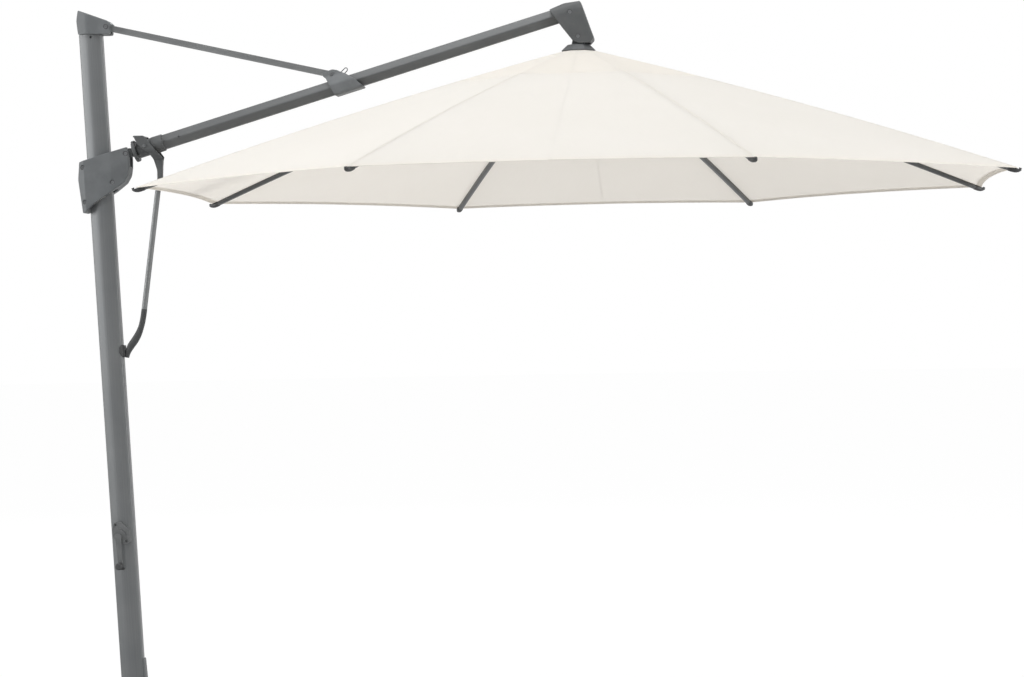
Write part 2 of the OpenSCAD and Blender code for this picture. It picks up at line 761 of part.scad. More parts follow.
// Eight-sided cap over the cloth's middle, with the lug that hangs in the head bracket
module crown_cap() {
    cap_r = 71;
    color(casting_colour) difference() {
        union() {
            translate([canopy_x, 0, crown_z]) rotate([0, 0, 22.5]) {
                cylinder(r = cap_r, h = 2, $fn = 8);
                translate([0, 0, 2]) cylinder(r1 = cap_r, r2 = 47, h = 22, $fn = 8);
                translate([0, 0, 24]) cylinder(r1 = 47, r2 = 45, h = 1.5, $fn = 8);
            }
            slab(-22, 22) polygon(rounded([
                [canopy_x - 28, crown_z + 20, 0], [canopy_x - 24, crown_z + 38, 6],
                [canopy_x - 17, 2648, 14],
                [canopy_x + 17, 2652, 14], [canopy_x + 26, crown_z + 20, 0]]));
        }
        bar(canopy_pivot.x, canopy_pivot.y, 12 + 2 * run, -40, 40);
    }
}

// Ring with eight open slots, one for each rib or brace
module slotted_ring(r, low, high, slot_w, slot_from) {
    difference() {
        translate([canopy_x, 0, low]) cylinder(r = r, h = high - low);
        for (i = [1:8])
            at_rib(i) {
                translate([slot_from, -slot_w / 2, -60]) cube([r, slot_w, 120]);
                bar(pivot_r, 0, pin_d + 2 * seat, -20, 20);
            }
    }
}

module hub() {
    color(casting_colour) difference() {
        union() {
            translate([0, 0, hub_z]) slotted_ring(76, -24, 3, rib_w + 0.8, 46);
            translate([canopy_x, 0, hub_z - 24]) cylinder(d = 88, h = crown_z - hub_z + 24);
        }
        translate([canopy_x, 0, hub_z - 40]) cylinder(d = 40 + 2 * seat, h = 50);
    }
}

module centre_tube() {
    color(mast_colour) difference() {
        translate([canopy_x, 0, runner_z + 34]) cylinder(d = 40, h = hub_z + 10 - runner_z - 34);
        translate([canopy_x, 0, runner_z]) cylinder(d = 34, h = hub_z);
    }
}

module pivot_pins(z) {
    color(steel_colour) for (i = [1:8])
        at_rib(i) translate([0, 0, z]) bar(pivot_r, 0, pin_d, -18, 18);
}

module hub_pins() {
    pivot_pins(hub_z);
}

module runner_pins() {
    pivot_pins(runner_z);
}

module runner() {
    color(casting_colour) difference() {
        union() {
            translate([0, 0, runner_z]) slotted_ring(78, -15, 15, brace_w + 0.8, 46);
            translate([canopy_x, 0, runner_z - 15]) cylinder(d = 84, h = 30);
            translate([canopy_x, 0, runner_z]) cylinder(d = 56, h = 58);
            translate([canopy_x, 0, runner_z - 26]) cylinder(r1 = 34, r2 = 42, h = 11);
        }
        translate([canopy_x, 0, runner_z + 33]) cylinder(d = 42, h = 60);
    }
}

// ---------- Ribs and braces ----------

// Side view of a length of the bowed rib, from share t0 to t1, between two heights off its centre line
function bow_side(t0, t1, low, high, n = 14) = concat(
    [for (k = [0:n]) on_rib(t0 + (t1 - t0) * k / n, high)],
    [for (k = [n:-1:0]) on_rib(t0 + (t1 - t0) * k / n, low)]);

cap_len = 46;
cap_grow = 0.8;

// Plastic end cap: a rounded shoe over the rib with the post that holds the cloth's corner
module rib_cap() {
    w = rib_w / 2 + cap_grow;
    h = rib_h / 2 + cap_grow;
    from = tip.x - cap_len + 4;
    intersection() {
        slab(-w, w) polygon(bow_side(1 - (cap_len - 4.1) / chord, 1 + 10 / chord, -h, h, 3));
        translate([0, 0, tip.y - 60]) linear_extrude(120) polygon(rounded([
            [from - 9, w, 0], [tip.x + 6, w, 7], [tip.x + 6, -w, 7], [from - 9, -w, 0]]));
    }
    translate([tip.x - 1, 0, tip.y + 4]) rotate([0, rib_drop, 0]) cylinder(d = 11, h = rib_h / 2 + 2);
}

// One rib: the hollow profile and, as its own solid, its end cap
module rib(i) {
    wall = 2;
    cap_t = 1 - (cap_len - 4) / chord;
    at_rib(i) {
        color(mast_colour) difference() {
            union() {
                slab(-rib_w / 2, rib_w / 2) polygon(bow_side(0, cap_t, -rib_h / 2, rib_h / 2));
                bar(root.x, root.y, rib_h, -rib_w / 2, rib_w / 2);
            }
            slab(-rib_w / 2 + wall, rib_w / 2 - wall)
                polygon(bow_side(0.02, cap_t + 0.01, -rib_h / 2 + wall, rib_h / 2 - wall));
            bar(root.x, root.y, pin_d + 2 * run, -40, 40);
            bar(brace_at.x, brace_at.y, pin_d + 2 * run, -40, 40);
        }
        color(plastic_colour) rib_cap();
    }
}

brace_w = 27;
brace_h = 16;

// Channel-shaped brace between a rib and the runner, with its rib pin riveted in
module strut(i) {
    wall = 2.6;
    end_r = brace_h / 2;
    at_rib(i) translate([pivot_r, 0, runner_z]) rotate([0, -brace_drop, 0]) color(mast_colour) {
        difference() {
            slab(-brace_w / 2, brace_w / 2) {
                translate([0, -end_r]) square([brace_len, brace_h]);
                circle(r = end_r);
                translate([brace_len, 0]) circle(r = end_r);
            }
            slab(-brace_w / 2 + wall, brace_w / 2 - wall)
                translate([14, -end_r - wall]) square([brace_len + 20, brace_h]);
            slab(-brace_w / 2 + wall, brace_w / 2 - wall)
                translate([brace_len - 70, -end_r - 1]) square([90, brace_h + 2]);
            bar(0, 0, pin_d + 2 * run, -40, 40);
        }
        bar(brace_len, 0, pin_d, -brace_w / 2, brace_w / 2);
    }
}

// ---------- Canopy ----------

cloth_in = 66;
cloth_out = 0.992;
radial_steps = 7;
cross_steps = 8;

// Share of the rib's length at which the cloth's edge starts
t_in = (cloth_in - pivot_r) / (tip.x - pivot_r);

// Place across a sector of the k-th line of cloth: the first and last lie on the ribs' edges
function cross_share(k, gap) =
    let (lie = (rib_w / 2 + 2) / gap)
    k == 0 ? 0 : lie + (1 - 2 * lie) * (k - 1) / (cross_steps - 2);

// Point of the cloth in a sector: t runs along the ribs, k counts across from rib to rib
function cloth_point(i, t, k, up) =
    let (p = on_rib(t_in + (cloth_out - t_in) * t, rib_h / 2 + rib_top_gap + up),
         a0 = 22.5 + 45 * (i - 1),
         left = p.x * [cos(a0), sin(a0)],
         right = p.x * [cos(a0 + 45), sin(a0 + 45)],
         v = cross_share(k, norm(right - left)),
         free = k < 2 ? 0 : (k - 1) / (cross_steps - 2),
         bulge = 4 * free * (1 - free),
         xy = (left + (right - left) * v) * (1 - bulge * hem_curve * t * t / p.x),
         hang = panel_sag * sin(min(180, 200 * t)) - hem_curve * t * t * 0.25)
    [canopy_x + xy.x, xy.y, p.y - bulge * hang];

ring_n = 8 * cross_steps;
function cloth_layer(up) = [
    for (a = [0:radial_steps], k = [0:ring_n - 1])
        cloth_point(floor(k / cross_steps) + 1, a / radial_steps, k % cross_steps, up)];

module canopy() {
    layer = (radial_steps + 1) * ring_n;
    top = [for (a = [0:radial_steps - 1], k = [0:ring_n - 1])
        let (n = (k + 1) % ring_n, p = a * ring_n)
        each [[p + k, p + n, p + ring_n + n], [p + k, p + ring_n + n, p + ring_n + k]]];
    bottom = [for (f = top) [layer + f[2], layer + f[1], layer + f[0]]];
    inner = [for (k = [0:ring_n - 1])
        let (n = (k + 1) % ring_n)
        each [[k, layer + k, layer + n], [k, layer + n, n]]];
    last = radial_steps * ring_n;
    outer = [for (k = [0:ring_n - 1])
        let (n = (k + 1) % ring_n)
        each [[last + k, last + n, layer + last + n], [last + k, layer + last + n, layer + last + k]]];
    color(cloth_colour)
        polyhedron(concat(cloth_layer(cloth_t), cloth_layer(0)), concat(top, bottom, inner, outer));
}

base_flange();
swivel_spindle();
brake_ring();
mast_tube();
mast_foot();
swivel_bushes();
mast_head();
rod_head_pin();
crank_housing();
lever_clip();
pedal_pin();
foot_pedal();
pedal_spring();
crank_arm();
crank_knob();
rope_drum();
tie_rod();
arm_bracket();
bracket_pin();
bracket_loop();
arm_root();
tilt_collar();
arm_tube();
arm_bearings();
root_sleeve();
head_bracket();
head_bolts();
lever_pins();
lever_yoke();
lever_tube();
lever_grip();
carriage_left();
carriage_right();
carriage_liners();
carriage_bolts();
crown_cap();
hub();
centre_tube();
hub_pins();
runner();
runner_pins();
canopy();
for (i = [1:8])
    rib(i);
for (i = [1:8])
    strut(i);
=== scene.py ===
# Cantilever parasol: the finish, the cloth and the soft-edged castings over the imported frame
import bpy
import bmesh
import math
from mathutils import Matrix, Vector, noise


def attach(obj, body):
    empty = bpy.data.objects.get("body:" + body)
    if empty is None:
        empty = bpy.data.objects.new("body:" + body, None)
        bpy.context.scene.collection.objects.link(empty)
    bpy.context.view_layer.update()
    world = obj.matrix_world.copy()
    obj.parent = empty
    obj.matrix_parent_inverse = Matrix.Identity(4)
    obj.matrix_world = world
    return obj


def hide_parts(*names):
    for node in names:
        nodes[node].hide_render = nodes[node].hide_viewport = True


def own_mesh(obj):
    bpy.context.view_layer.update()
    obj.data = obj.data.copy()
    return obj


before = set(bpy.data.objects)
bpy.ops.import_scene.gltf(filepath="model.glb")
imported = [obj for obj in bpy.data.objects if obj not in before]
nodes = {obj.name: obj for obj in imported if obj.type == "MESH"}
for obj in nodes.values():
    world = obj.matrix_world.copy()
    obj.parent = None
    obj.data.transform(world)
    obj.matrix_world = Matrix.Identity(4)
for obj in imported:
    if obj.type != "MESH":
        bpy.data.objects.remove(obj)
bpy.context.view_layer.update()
print("frame loaded,", len(nodes), "nodes")

mm = 0.001
weld = 0.02 * mm  # corners closer than this are one

# camera at the eye height of a standing person, with the whole canopy in view
camera = {"place": (2.4097, -9.6027, 1.5427), "turn": (89.572, 0.996, 5.3046), "lens": 86.98,
          "sensor": 36, "reach": 200}

cameraData = bpy.data.cameras.new("camera")
cameraData.lens = camera["lens"]
cameraData.sensor_width = camera["sensor"]
cameraData.clip_end = camera["reach"]
cameraObject = bpy.data.objects.new("camera", cameraData)
cameraObject.location = camera["place"]
cameraObject.rotation_euler = [math.radians(a) for a in camera["turn"]]
bpy.context.scene.collection.objects.link(cameraObject)
bpy.context.scene.camera = cameraObject
bpy.context.scene.view_settings.view_transform = "Standard"


def toLinear(hexText):
    # sRGB hex to linear RGBA
    parts = [int(hexText[k:k + 2], 16) / 255 for k in (1, 3, 5)]
    return [c / 12.92 if c <= 0.04045 else ((c + 0.055) / 1.055) ** 2.4 for c in parts] + [1]


def addNode(tree, kind, sets=None, links=None, stops=(), **props):
    # one node, its fixed sockets, what feeds the others, and the stops where it is a ramp
    made = tree.nodes.new(kind)
    for key, value in props.items():
        setattr(made, key, value)
    for key, value in (sets or {}).items():
        made.inputs[key].default_value = value
    for key, source in (links or {}).items():
        tree.links.new(source, made.inputs[key])
    for k, (place, colour) in enumerate(stops):
        made.color_ramp.elements[k].position = place
        made.color_ramp.elements[k].color = toLinear(colour)
    return made


def newMaterial(name):
    material = bpy.data.materials.new(name)
    material.use_nodes = True
    material.node_tree.nodes.clear()
    return material, material.node_tree


def closeMaterial(tree, sets, links):
    shader = addNode(tree, "ShaderNodeBsdfPrincipled", sets, links)
    addNode(tree, "ShaderNodeOutputMaterial", links={"Surface": shader.outputs[0]})


# powder-coated die-cast aluminium: matt, a very fine orange peel, with a painted highlight that makes the edges
# a little lighter
powderCast = {"dark": "#65686a", "light": "#6f7274", "edgeHighlight": "#7e8080", "cloud": 70 * mm, "grain": 1.1 * mm,
              "peel": 5 * mm, "edge": (0.53, 0.62), "highlightShare": 0.55, "rough": (0.44, 0.58), "ior": 1.5,
              "specular": 0.3, "peelBump": 0.15, "peelDeep": 0.25 * mm, "grainBump": 0.25,
              "grainDeep": 0.12 * mm}

# painted shade: a darker copy of the same coat, for the arm's castings
powderCastShaded = {**powderCast, "dark": "#505253", "light": "#595b5c", "edgeHighlight": "#6a6c6c"}


def makePowderCast(name, s):
    material, tree = newMaterial(name)
    place = addNode(tree, "ShaderNodeTexCoord").outputs["Object"]
    cloud = addNode(tree, "ShaderNodeTexNoise", {"Scale": 1 / s["cloud"], "Detail": 3, "Roughness": 0.6},
                    {"Vector": place})
    grain = addNode(tree, "ShaderNodeTexNoise", {"Scale": 1 / s["grain"], "Detail": 2}, {"Vector": place})
    peel = addNode(tree, "ShaderNodeTexNoise", {"Scale": 1 / s["peel"], "Detail": 1}, {"Vector": place})
    tone = addNode(tree, "ShaderNodeValToRGB", links={"Fac": cloud.outputs["Fac"]},
                   stops=[(0.35, s["dark"]), (0.65, s["light"])])
    bend = addNode(tree, "ShaderNodeNewGeometry").outputs["Pointiness"]
    # painted highlight: the sharp edges are mixed towards a lighter grey
    paintedHighlight = addNode(tree, "ShaderNodeMapRange",
                     {"From Min": s["edge"][0], "From Max": s["edge"][1], "To Max": s["highlightShare"]}, {"Value": bend})
    colour = addNode(tree, "ShaderNodeMix", {"B": toLinear(s["edgeHighlight"])},
                     {"Factor": paintedHighlight.outputs[0], "A": tone.outputs["Color"]}, data_type="RGBA")
    rough = addNode(tree, "ShaderNodeMapRange", {"To Min": s["rough"][0], "To Max": s["rough"][1]},
                    {"Value": cloud.outputs["Fac"]})
    soft = addNode(tree, "ShaderNodeBump", {"Strength": s["peelBump"], "Distance": s["peelDeep"]},
                   {"Height": peel.outputs["Fac"]})
    bump = addNode(tree, "ShaderNodeBump", {"Strength": s["grainBump"], "Distance": s["grainDeep"]},
                   {"Height": grain.outputs["Fac"], "Normal": soft.outputs[0]})
    closeMaterial(tree, {"IOR": s["ior"], "Specular IOR Level": s["specular"]},
                  {"Base Color": colour.outputs["Result"], "Roughness": rough.outputs[0],
                   "Normal": bump.outputs[0]})
    return material


# powder-coated aluminium extrusion: satin graphite with faint die lines running along the profile
powderBar = {"dark": "#65686a", "light": "#717374", "cloud": 180 * mm, "grain": 0.9 * mm, "line": 2.2 * mm,
             "stretch": 0.004, "rough": (0.31, 0.43), "ior": 1.5, "metallic": 0.15, "specular": 0.4,
             "bump": 0.12, "deep": 0.1 * mm}

# painted shade: the same coat on the arm, the ribs and the braces, made darker
powderBarShaded = {**powderBar, "dark": "#555758", "light": "#5f6162"}

# painted light: the thin bars, rod and lever, take a lighter copy of the coat
powderBarLit = {**powderBar, "dark": "#707273", "light": "#7c7e7f", "rough": (0.27, 0.39)}


def makePowderBar(name, s, turn=(0, 0, 0)):
    material, tree = newMaterial(name)
    place = addNode(tree, "ShaderNodeTexCoord").outputs["Object"]
    along = addNode(tree, "ShaderNodeMapping", {"Rotation": [math.radians(a) for a in turn]}, {"Vector": place})
    drawn = addNode(tree, "ShaderNodeMapping", {"Scale": (1, 1, s["stretch"])}, {"Vector": along.outputs[0]})
    lines = addNode(tree, "ShaderNodeTexNoise", {"Scale": 1 / s["line"], "Detail": 2},
                    {"Vector": drawn.outputs[0]})
    grain = addNode(tree, "ShaderNodeTexNoise", {"Scale": 1 / s["grain"], "Detail": 2}, {"Vector": place})
    cloud = addNode(tree, "ShaderNodeTexNoise", {"Scale": 1 / s["cloud"], "Detail": 2}, {"Vector": place})
    halfLines = addNode(tree, "ShaderNodeMath", {1: 0.5}, {0: lines.outputs["Fac"]}, operation="MULTIPLY")
    both = addNode(tree, "ShaderNodeMath", {1: 0.5}, {0: cloud.outputs["Fac"], 2: halfLines.outputs[0]},
                   operation="MULTIPLY_ADD")
    tone = addNode(tree, "ShaderNodeValToRGB", links={"Fac": both.outputs[0]},
                   stops=[(0.35, s["dark"]), (0.65, s["light"])])
    rough = addNode(tree, "ShaderNodeMapRange", {"To Min": s["rough"][0], "To Max": s["rough"][1]},
                    {"Value": cloud.outputs["Fac"]})
    soft = addNode(tree, "ShaderNodeBump", {"Strength": s["bump"], "Distance": s["deep"]},
                   {"Height": lines.outputs["Fac"]})
    bump = addNode(tree, "ShaderNodeBump", {"Strength": s["bump"], "Distance": s["deep"]},
                   {"Height": grain.outputs["Fac"], "Normal": soft.outputs[0]})
    closeMaterial(tree, {"IOR": s["ior"], "Metallic": s["metallic"], "Specular IOR Level": s["specular"]},
                  {"Base Color": tone.outputs["Color"], "Roughness": rough.outputs[0],
                   "Normal": bump.outputs[0]})
    return material


# glass-filled nylon, moulded in a spark-eroded tool: charcoal, dull, finely pitted
mouldedNylon = {"dark": "#2e2f30", "light": "#383a3b", "cloud": 25 * mm, "pit": 1.3 * mm,
                "rough": (0.47, 0.65), "ior": 1.53, "bump": 0.3, "deep": 0.15 * mm}

# the same nylon moulded in the grey of the castings, for the crank's housing and arm
greyNylon = {**mouldedNylon, "dark": "#5a5c5d", "light": "#656768", "rough": (0.42, 0.6), "bump": 0.22}


def makeNylon(name, s):
    material, tree = newMaterial(name)
    place = addNode(tree, "ShaderNodeTexCoord").outputs["Object"]
    cloud = addNode(tree, "ShaderNodeTexNoise", {"Scale": 1 / s["cloud"], "Detail": 3}, {"Vector": place})
    pits = addNode(tree, "ShaderNodeTexVoronoi", {"Scale": 1 / s["pit"]}, {"Vector": place},
                   feature="SMOOTH_F1")
    tone = addNode(tree, "ShaderNodeValToRGB", links={"Fac": cloud.outputs["Fac"]},
                   stops=[(0.3, s["dark"]), (0.7, s["light"])])
    rough = addNode(tree, "ShaderNodeMapRange", {"To Min": s["rough"][0], "To Max": s["rough"][1]},
                    {"Value": pits.outputs["Distance"]})
    bump = addNode(tree, "ShaderNodeBump", {"Strength": s["bump"], "Distance": s["deep"]},
                   {"Height": pits.outputs["Distance"]})
    closeMaterial(tree, {"IOR": s["ior"]}, {"Base Color": tone.outputs["Color"],
                                            "Roughness": rough.outputs[0], "Normal": bump.outputs[0]})
    return material


# steel: turned or drawn, with faint tool marks; blackened for the screws, bare for the hidden pieces
bareSteel = {"dark": "#9c9d9e", "light": "#b9babb", "cloud": 20 * mm, "mark": 0.8 * mm,
             "rough": (0.26, 0.42), "metallic": 1, "bump": 0.15, "deep": 0.05 * mm}
blackSteel = {**bareSteel, "dark": "#646668", "light": "#747678", "rough": (0.3, 0.46), "metallic": 0.3}


def makeSteel(name, s):
    material, tree = newMaterial(name)
    place = addNode(tree, "ShaderNodeTexCoord").outputs["Object"]
    marks = addNode(tree, "ShaderNodeTexNoise", {"Scale": 1 / s["mark"], "Detail": 3}, {"Vector": place})
    cloud = addNode(tree, "ShaderNodeTexNoise", {"Scale": 1 / s["cloud"], "Detail": 2}, {"Vector": place})
    tone = addNode(tree, "ShaderNodeValToRGB", links={"Fac": cloud.outputs["Fac"]},
                   stops=[(0.3, s["dark"]), (0.7, s["light"])])
    rough = addNode(tree, "ShaderNodeMapRange", {"To Min": s["rough"][0], "To Max": s["rough"][1]},
                    {"Value": marks.outputs["Fac"]})
    bump = addNode(tree, "ShaderNodeBump", {"Strength": s["bump"], "Distance": s["deep"]},
                   {"Height": marks.outputs["Fac"]})
    closeMaterial(tree, {"Metallic": s["metallic"]},
                  {"Base Color": tone.outputs["Color"], "Roughness": rough.outputs[0],
                   "Normal": bump.outputs[0]})
    return material


# acetal glide pads: milky, waxy, no grain to speak of
acetal = {"dark": "#c9c8c1", "light": "#d8d7d0", "cloud": 15 * mm, "rough": (0.35, 0.45), "ior": 1.48}


def makeAcetal(name, s):
    material, tree = newMaterial(name)
    place = addNode(tree, "ShaderNodeTexCoord").outputs["Object"]
    cloud = addNode(tree, "ShaderNodeTexNoise", {"Scale": 1 / s["cloud"], "Detail": 2}, {"Vector": place})
    tone = addNode(tree, "ShaderNodeValToRGB", links={"Fac": cloud.outputs["Fac"]},
                   stops=[(0.3, s["dark"]), (0.7, s["light"])])
    rough = addNode(tree, "ShaderNodeMapRange", {"To Min": s["rough"][0], "To Max": s["rough"][1]},
                    {"Value": cloud.outputs["Fac"]})
    closeMaterial(tree, {"IOR": s["ior"]}, {"Base Color": tone.outputs["Color"],
                                            "Roughness": rough.outputs[0]})
    return material


# woven acrylic canvas: dull, with a slight nap; threads 0.5 mm apart are drawn at 2.4 mm so that they show
canvas = {"dark": "#f3f2ee", "light": "#f7f6f3", "warm": "#f9f6f2", "thread": 2.4 * mm, "slub": 3.75 * mm,
          "slubStretch": 0.03, "cloud": 400 * mm, "roughness": 0.85, "nap": 0.15, "napRough": 0.5,
          "bump": 0.2, "deep": 0.3 * mm, "through": 0.5, "throughSewn": 0.54}

# the thread it is sewn with: stitch length and width, the rows' distance from the edge, how it stands out
stitch = {"long": 6 * mm, "gap": 0.3, "wide": 1.1 * mm, "core": 0.3, "rows": (4 * mm, 19 * mm),
          "colour": "#dcdad0", "sunk": -1.5, "raised": 2.5}
waveStep = 0.314  # a wave texture at scale 1 repeats after this length


def makeCanvas(name, s, stitched):
    material, tree = newMaterial(name)
    uv = addNode(tree, "ShaderNodeUVMap", uv_map="cloth").outputs["UV"]  # u across, v from the edge, in metres
    split = addNode(tree, "ShaderNodeSeparateXYZ", links={"Vector": uv})
    u, v = split.outputs["X"], split.outputs["Y"]
    warp, weft = [addNode(tree, "ShaderNodeTexWave", {"Scale": waveStep / s["thread"]}, {"Vector": uv},
                          bands_direction=way) for way in "XY"]
    weave = addNode(tree, "ShaderNodeMath", {}, {0: warp.outputs["Fac"], 1: weft.outputs["Fac"]},
                    operation="MULTIPLY")
    longThreads = addNode(tree, "ShaderNodeMapping", {"Scale": (1, s["slubStretch"], 1)}, {"Vector": uv})
    slub = addNode(tree, "ShaderNodeTexNoise", {"Scale": 1 / s["slub"], "Detail": 3},
                   {"Vector": longThreads.outputs[0]})
    cloud = addNode(tree, "ShaderNodeTexNoise", {"Scale": 1 / s["cloud"], "Detail": 3}, {"Vector": uv})
    mixed = addNode(tree, "ShaderNodeMath", {}, {0: slub.outputs["Fac"], 1: cloud.outputs["Fac"]},
                    operation="ADD")
    half = addNode(tree, "ShaderNodeMath", {1: 0.5}, {0: mixed.outputs[0]}, operation="MULTIPLY")
    tone = addNode(tree, "ShaderNodeValToRGB", links={"Fac": half.outputs[0]},
                   stops=[(0.35, s["dark"]), (0.62, s["light"])]).outputs["Color"]
    height = weave.outputs[0]
    if stitched:
        turns = addNode(tree, "ShaderNodeMath", {1: stitch["long"]}, {0: u}, operation="PINGPONG")
        dash = addNode(tree, "ShaderNodeMath", {1: stitch["long"] * stitch["gap"]}, {0: turns.outputs[0]},
                       operation="GREATER_THAN")
        near = []
        for row in stitch["rows"]:
            gap = addNode(tree, "ShaderNodeMath", {1: row}, {0: v}, operation="SUBTRACT")
            side = addNode(tree, "ShaderNodeMath", {}, {0: gap.outputs[0]}, operation="ABSOLUTE")
            thread = addNode(tree, "ShaderNodeMapRange",
                             {"From Min": stitch["wide"], "From Max": stitch["wide"] * stitch["core"]},
                             {"Value": side.outputs[0]})
            near.append(thread.outputs[0])
        rows = addNode(tree, "ShaderNodeMath", {}, {0: near[0], 1: near[1]}, operation="MAXIMUM")
        sewn = addNode(tree, "ShaderNodeMath", {}, {0: rows.outputs[0], 1: dash.outputs[0]},
                       operation="MULTIPLY")
        tone = addNode(tree, "ShaderNodeMix", {"B": toLinear(stitch["colour"])},
                       {"Factor": sewn.outputs[0], "A": tone}, data_type="RGBA").outputs["Result"]
        sunk = addNode(tree, "ShaderNodeMath", {1: stitch["sunk"]}, {0: rows.outputs[0]},
                       operation="MULTIPLY")
        raised = addNode(tree, "ShaderNodeMath", {1: stitch["raised"]},
                         {0: sewn.outputs[0], 2: sunk.outputs[0]}, operation="MULTIPLY_ADD")
        height = addNode(tree, "ShaderNodeMath", {}, {0: height, 1: raised.outputs[0]},
                         operation="ADD").outputs[0]
    bump = addNode(tree, "ShaderNodeBump", {"Strength": s["bump"], "Distance": s["deep"]}, {"Height": height})
    face = addNode(tree, "ShaderNodeBsdfPrincipled",
                   {"Roughness": s["roughness"], "Sheen Weight": s["nap"], "Sheen Roughness": s["napRough"]},
                   {"Base Color": tone, "Normal": bump.outputs[0]})
    through = addNode(tree, "ShaderNodeBsdfTranslucent", {"Color": toLinear(s["warm"])},
                      {"Normal": bump.outputs[0]})
    both = addNode(tree, "ShaderNodeMixShader", {0: s["throughSewn" if stitched else "through"]},
                   {1: face.outputs[0], 2: through.outputs[0]})
    addNode(tree, "ShaderNodeOutputMaterial", links={"Surface": both.outputs[0]})
    return material


# how far each bar stands off the vertical, in degrees, so that its die lines run along it
barTurns = {"mast": 2.78, "arm": -73.87, "lever": -2.78, "rod": -103.13}
materials = {
    "powderCast": makePowderCast("powderCast", powderCast),
    "powderCastShaded": makePowderCast("powderCastShaded", powderCastShaded),
    "mastBar": makePowderBar("powderBarMast", powderBar, (0, barTurns["mast"], 0)),
    "armBar": makePowderBar("powderBarArm", powderBarShaded, (0, barTurns["arm"], 0)),
    "leverBar": makePowderBar("powderBarLever", powderBarLit, (0, barTurns["lever"], 0)),
    "rodBar": makePowderBar("powderBarRod", powderBarLit, (0, barTurns["rod"], 0)),
    "plainBar": makePowderBar("powderBar", powderBarShaded),
    "nylon": makeNylon("mouldedNylon", mouldedNylon),
    "greyNylon": makeNylon("greyNylon", greyNylon),
    "bareSteel": makeSteel("bareSteel", bareSteel),
    "blackSteel": makeSteel("blackSteel", blackSteel),
    "acetal": makeAcetal("acetal", acetal),
    "canvas": makeCanvas("acrylicCanvas", canvas, False),
    "canvasSewn": makeCanvas("acrylicCanvasSewn", canvas, True),
}
print("materials made")

# which finish each CAD node wears
wears = {
    "mastBar": ["mast_tube"],
    "leverBar": ["lever_tube"],
    "armBar": ["arm_tube"],
    "rodBar": ["tie_rod"],
    "plainBar": ["centre_tube"] + [f"strut_{i}" for i in range(1, 9)] + [f"rib_{i}" for i in range(1, 9)],
    "powderCast": ["mast_head", "arm_bracket", "carriage_left", "carriage_right", "hub", "runner",
                   "base_flange", "mast_foot"],
    "powderCastShaded": ["arm_root", "tilt_collar", "root_sleeve", "head_bracket", "lever_yoke", "crown_cap"],
    "nylon": ["lever_clip", "crank_knob", "lever_grip", "foot_pedal", "arm_bearings"],
    "greyNylon": ["crank_housing", "crank_arm"],
    "acetal": ["swivel_bushes", "carriage_liners"],
    "bareSteel": ["swivel_spindle", "brake_ring", "pedal_pin", "pedal_spring", "hub_pins", "runner_pins",
                  "rope_drum"],
    "blackSteel": ["rod_head_pin", "bracket_pin", "bracket_loop", "head_bolts", "lever_pins",
                   "carriage_bolts"],
    "canvas": ["canopy"],
}


def makeShading(name, angle):
    # welds the loose triangles and shades them smooth below an angle, without touching the mesh
    tree = bpy.data.node_groups.new(name, "GeometryNodeTree")
    tree.interface.new_socket("Geometry", in_out="INPUT", socket_type="NodeSocketGeometry")
    tree.interface.new_socket("Geometry", in_out="OUTPUT", socket_type="NodeSocketGeometry")
    start = addNode(tree, "NodeGroupInput")
    welded = addNode(tree, "GeometryNodeMergeByDistance", {"Distance": weld}, {"Geometry": start.outputs[0]})
    smooth = addNode(tree, "GeometryNodeSetShadeSmooth", {"Shade Smooth": True},
                     {"Geometry": welded.outputs[0]}, domain="FACE")
    corner = addNode(tree, "GeometryNodeInputMeshEdgeAngle")
    sharp = addNode(tree, "FunctionNodeCompare", {"B": math.radians(angle)},
                    {"A": corner.outputs["Unsigned Angle"]}, data_type="FLOAT", operation="GREATER_THAN")
    hard = addNode(tree, "GeometryNodeSetShadeSmooth", {"Shade Smooth": False},
                   {"Geometry": smooth.outputs[0], "Selection": sharp.outputs[0]}, domain="EDGE")
    addNode(tree, "NodeGroupOutput", links={"Geometry": hard.outputs[0]})
    return tree


softShading = makeShading("softShading", 31)
for finish, names in wears.items():
    for name in names:
        nodes[name].data.materials.clear()
        nodes[name].data.materials.append(materials[finish])
        nodes[name].modifiers.new("softShading", "NODES").node_group = softShading
        flats = nodes[name].modifiers.new("flatFacets", "WEIGHTED_NORMAL")  # wide faces keep their own normal
        flats.keep_sharp = True
print("nodes dressed")


def addPiece(name, bm, material, smooth=True):
    mesh = bpy.data.meshes.new(name)
    bm.to_mesh(mesh)
    bm.free()
    mesh.materials.append(material)
    mesh.polygons.foreach_set("use_smooth", [smooth] * len(mesh.polygons))
    piece = bpy.data.objects.new(name, mesh)
    bpy.context.scene.collection.objects.link(piece)
    return piece


def markSharp(bm, angle):
    for edge in bm.edges:
        if edge.is_manifold and edge.calc_face_angle() > math.radians(angle):
            edge.smooth = False


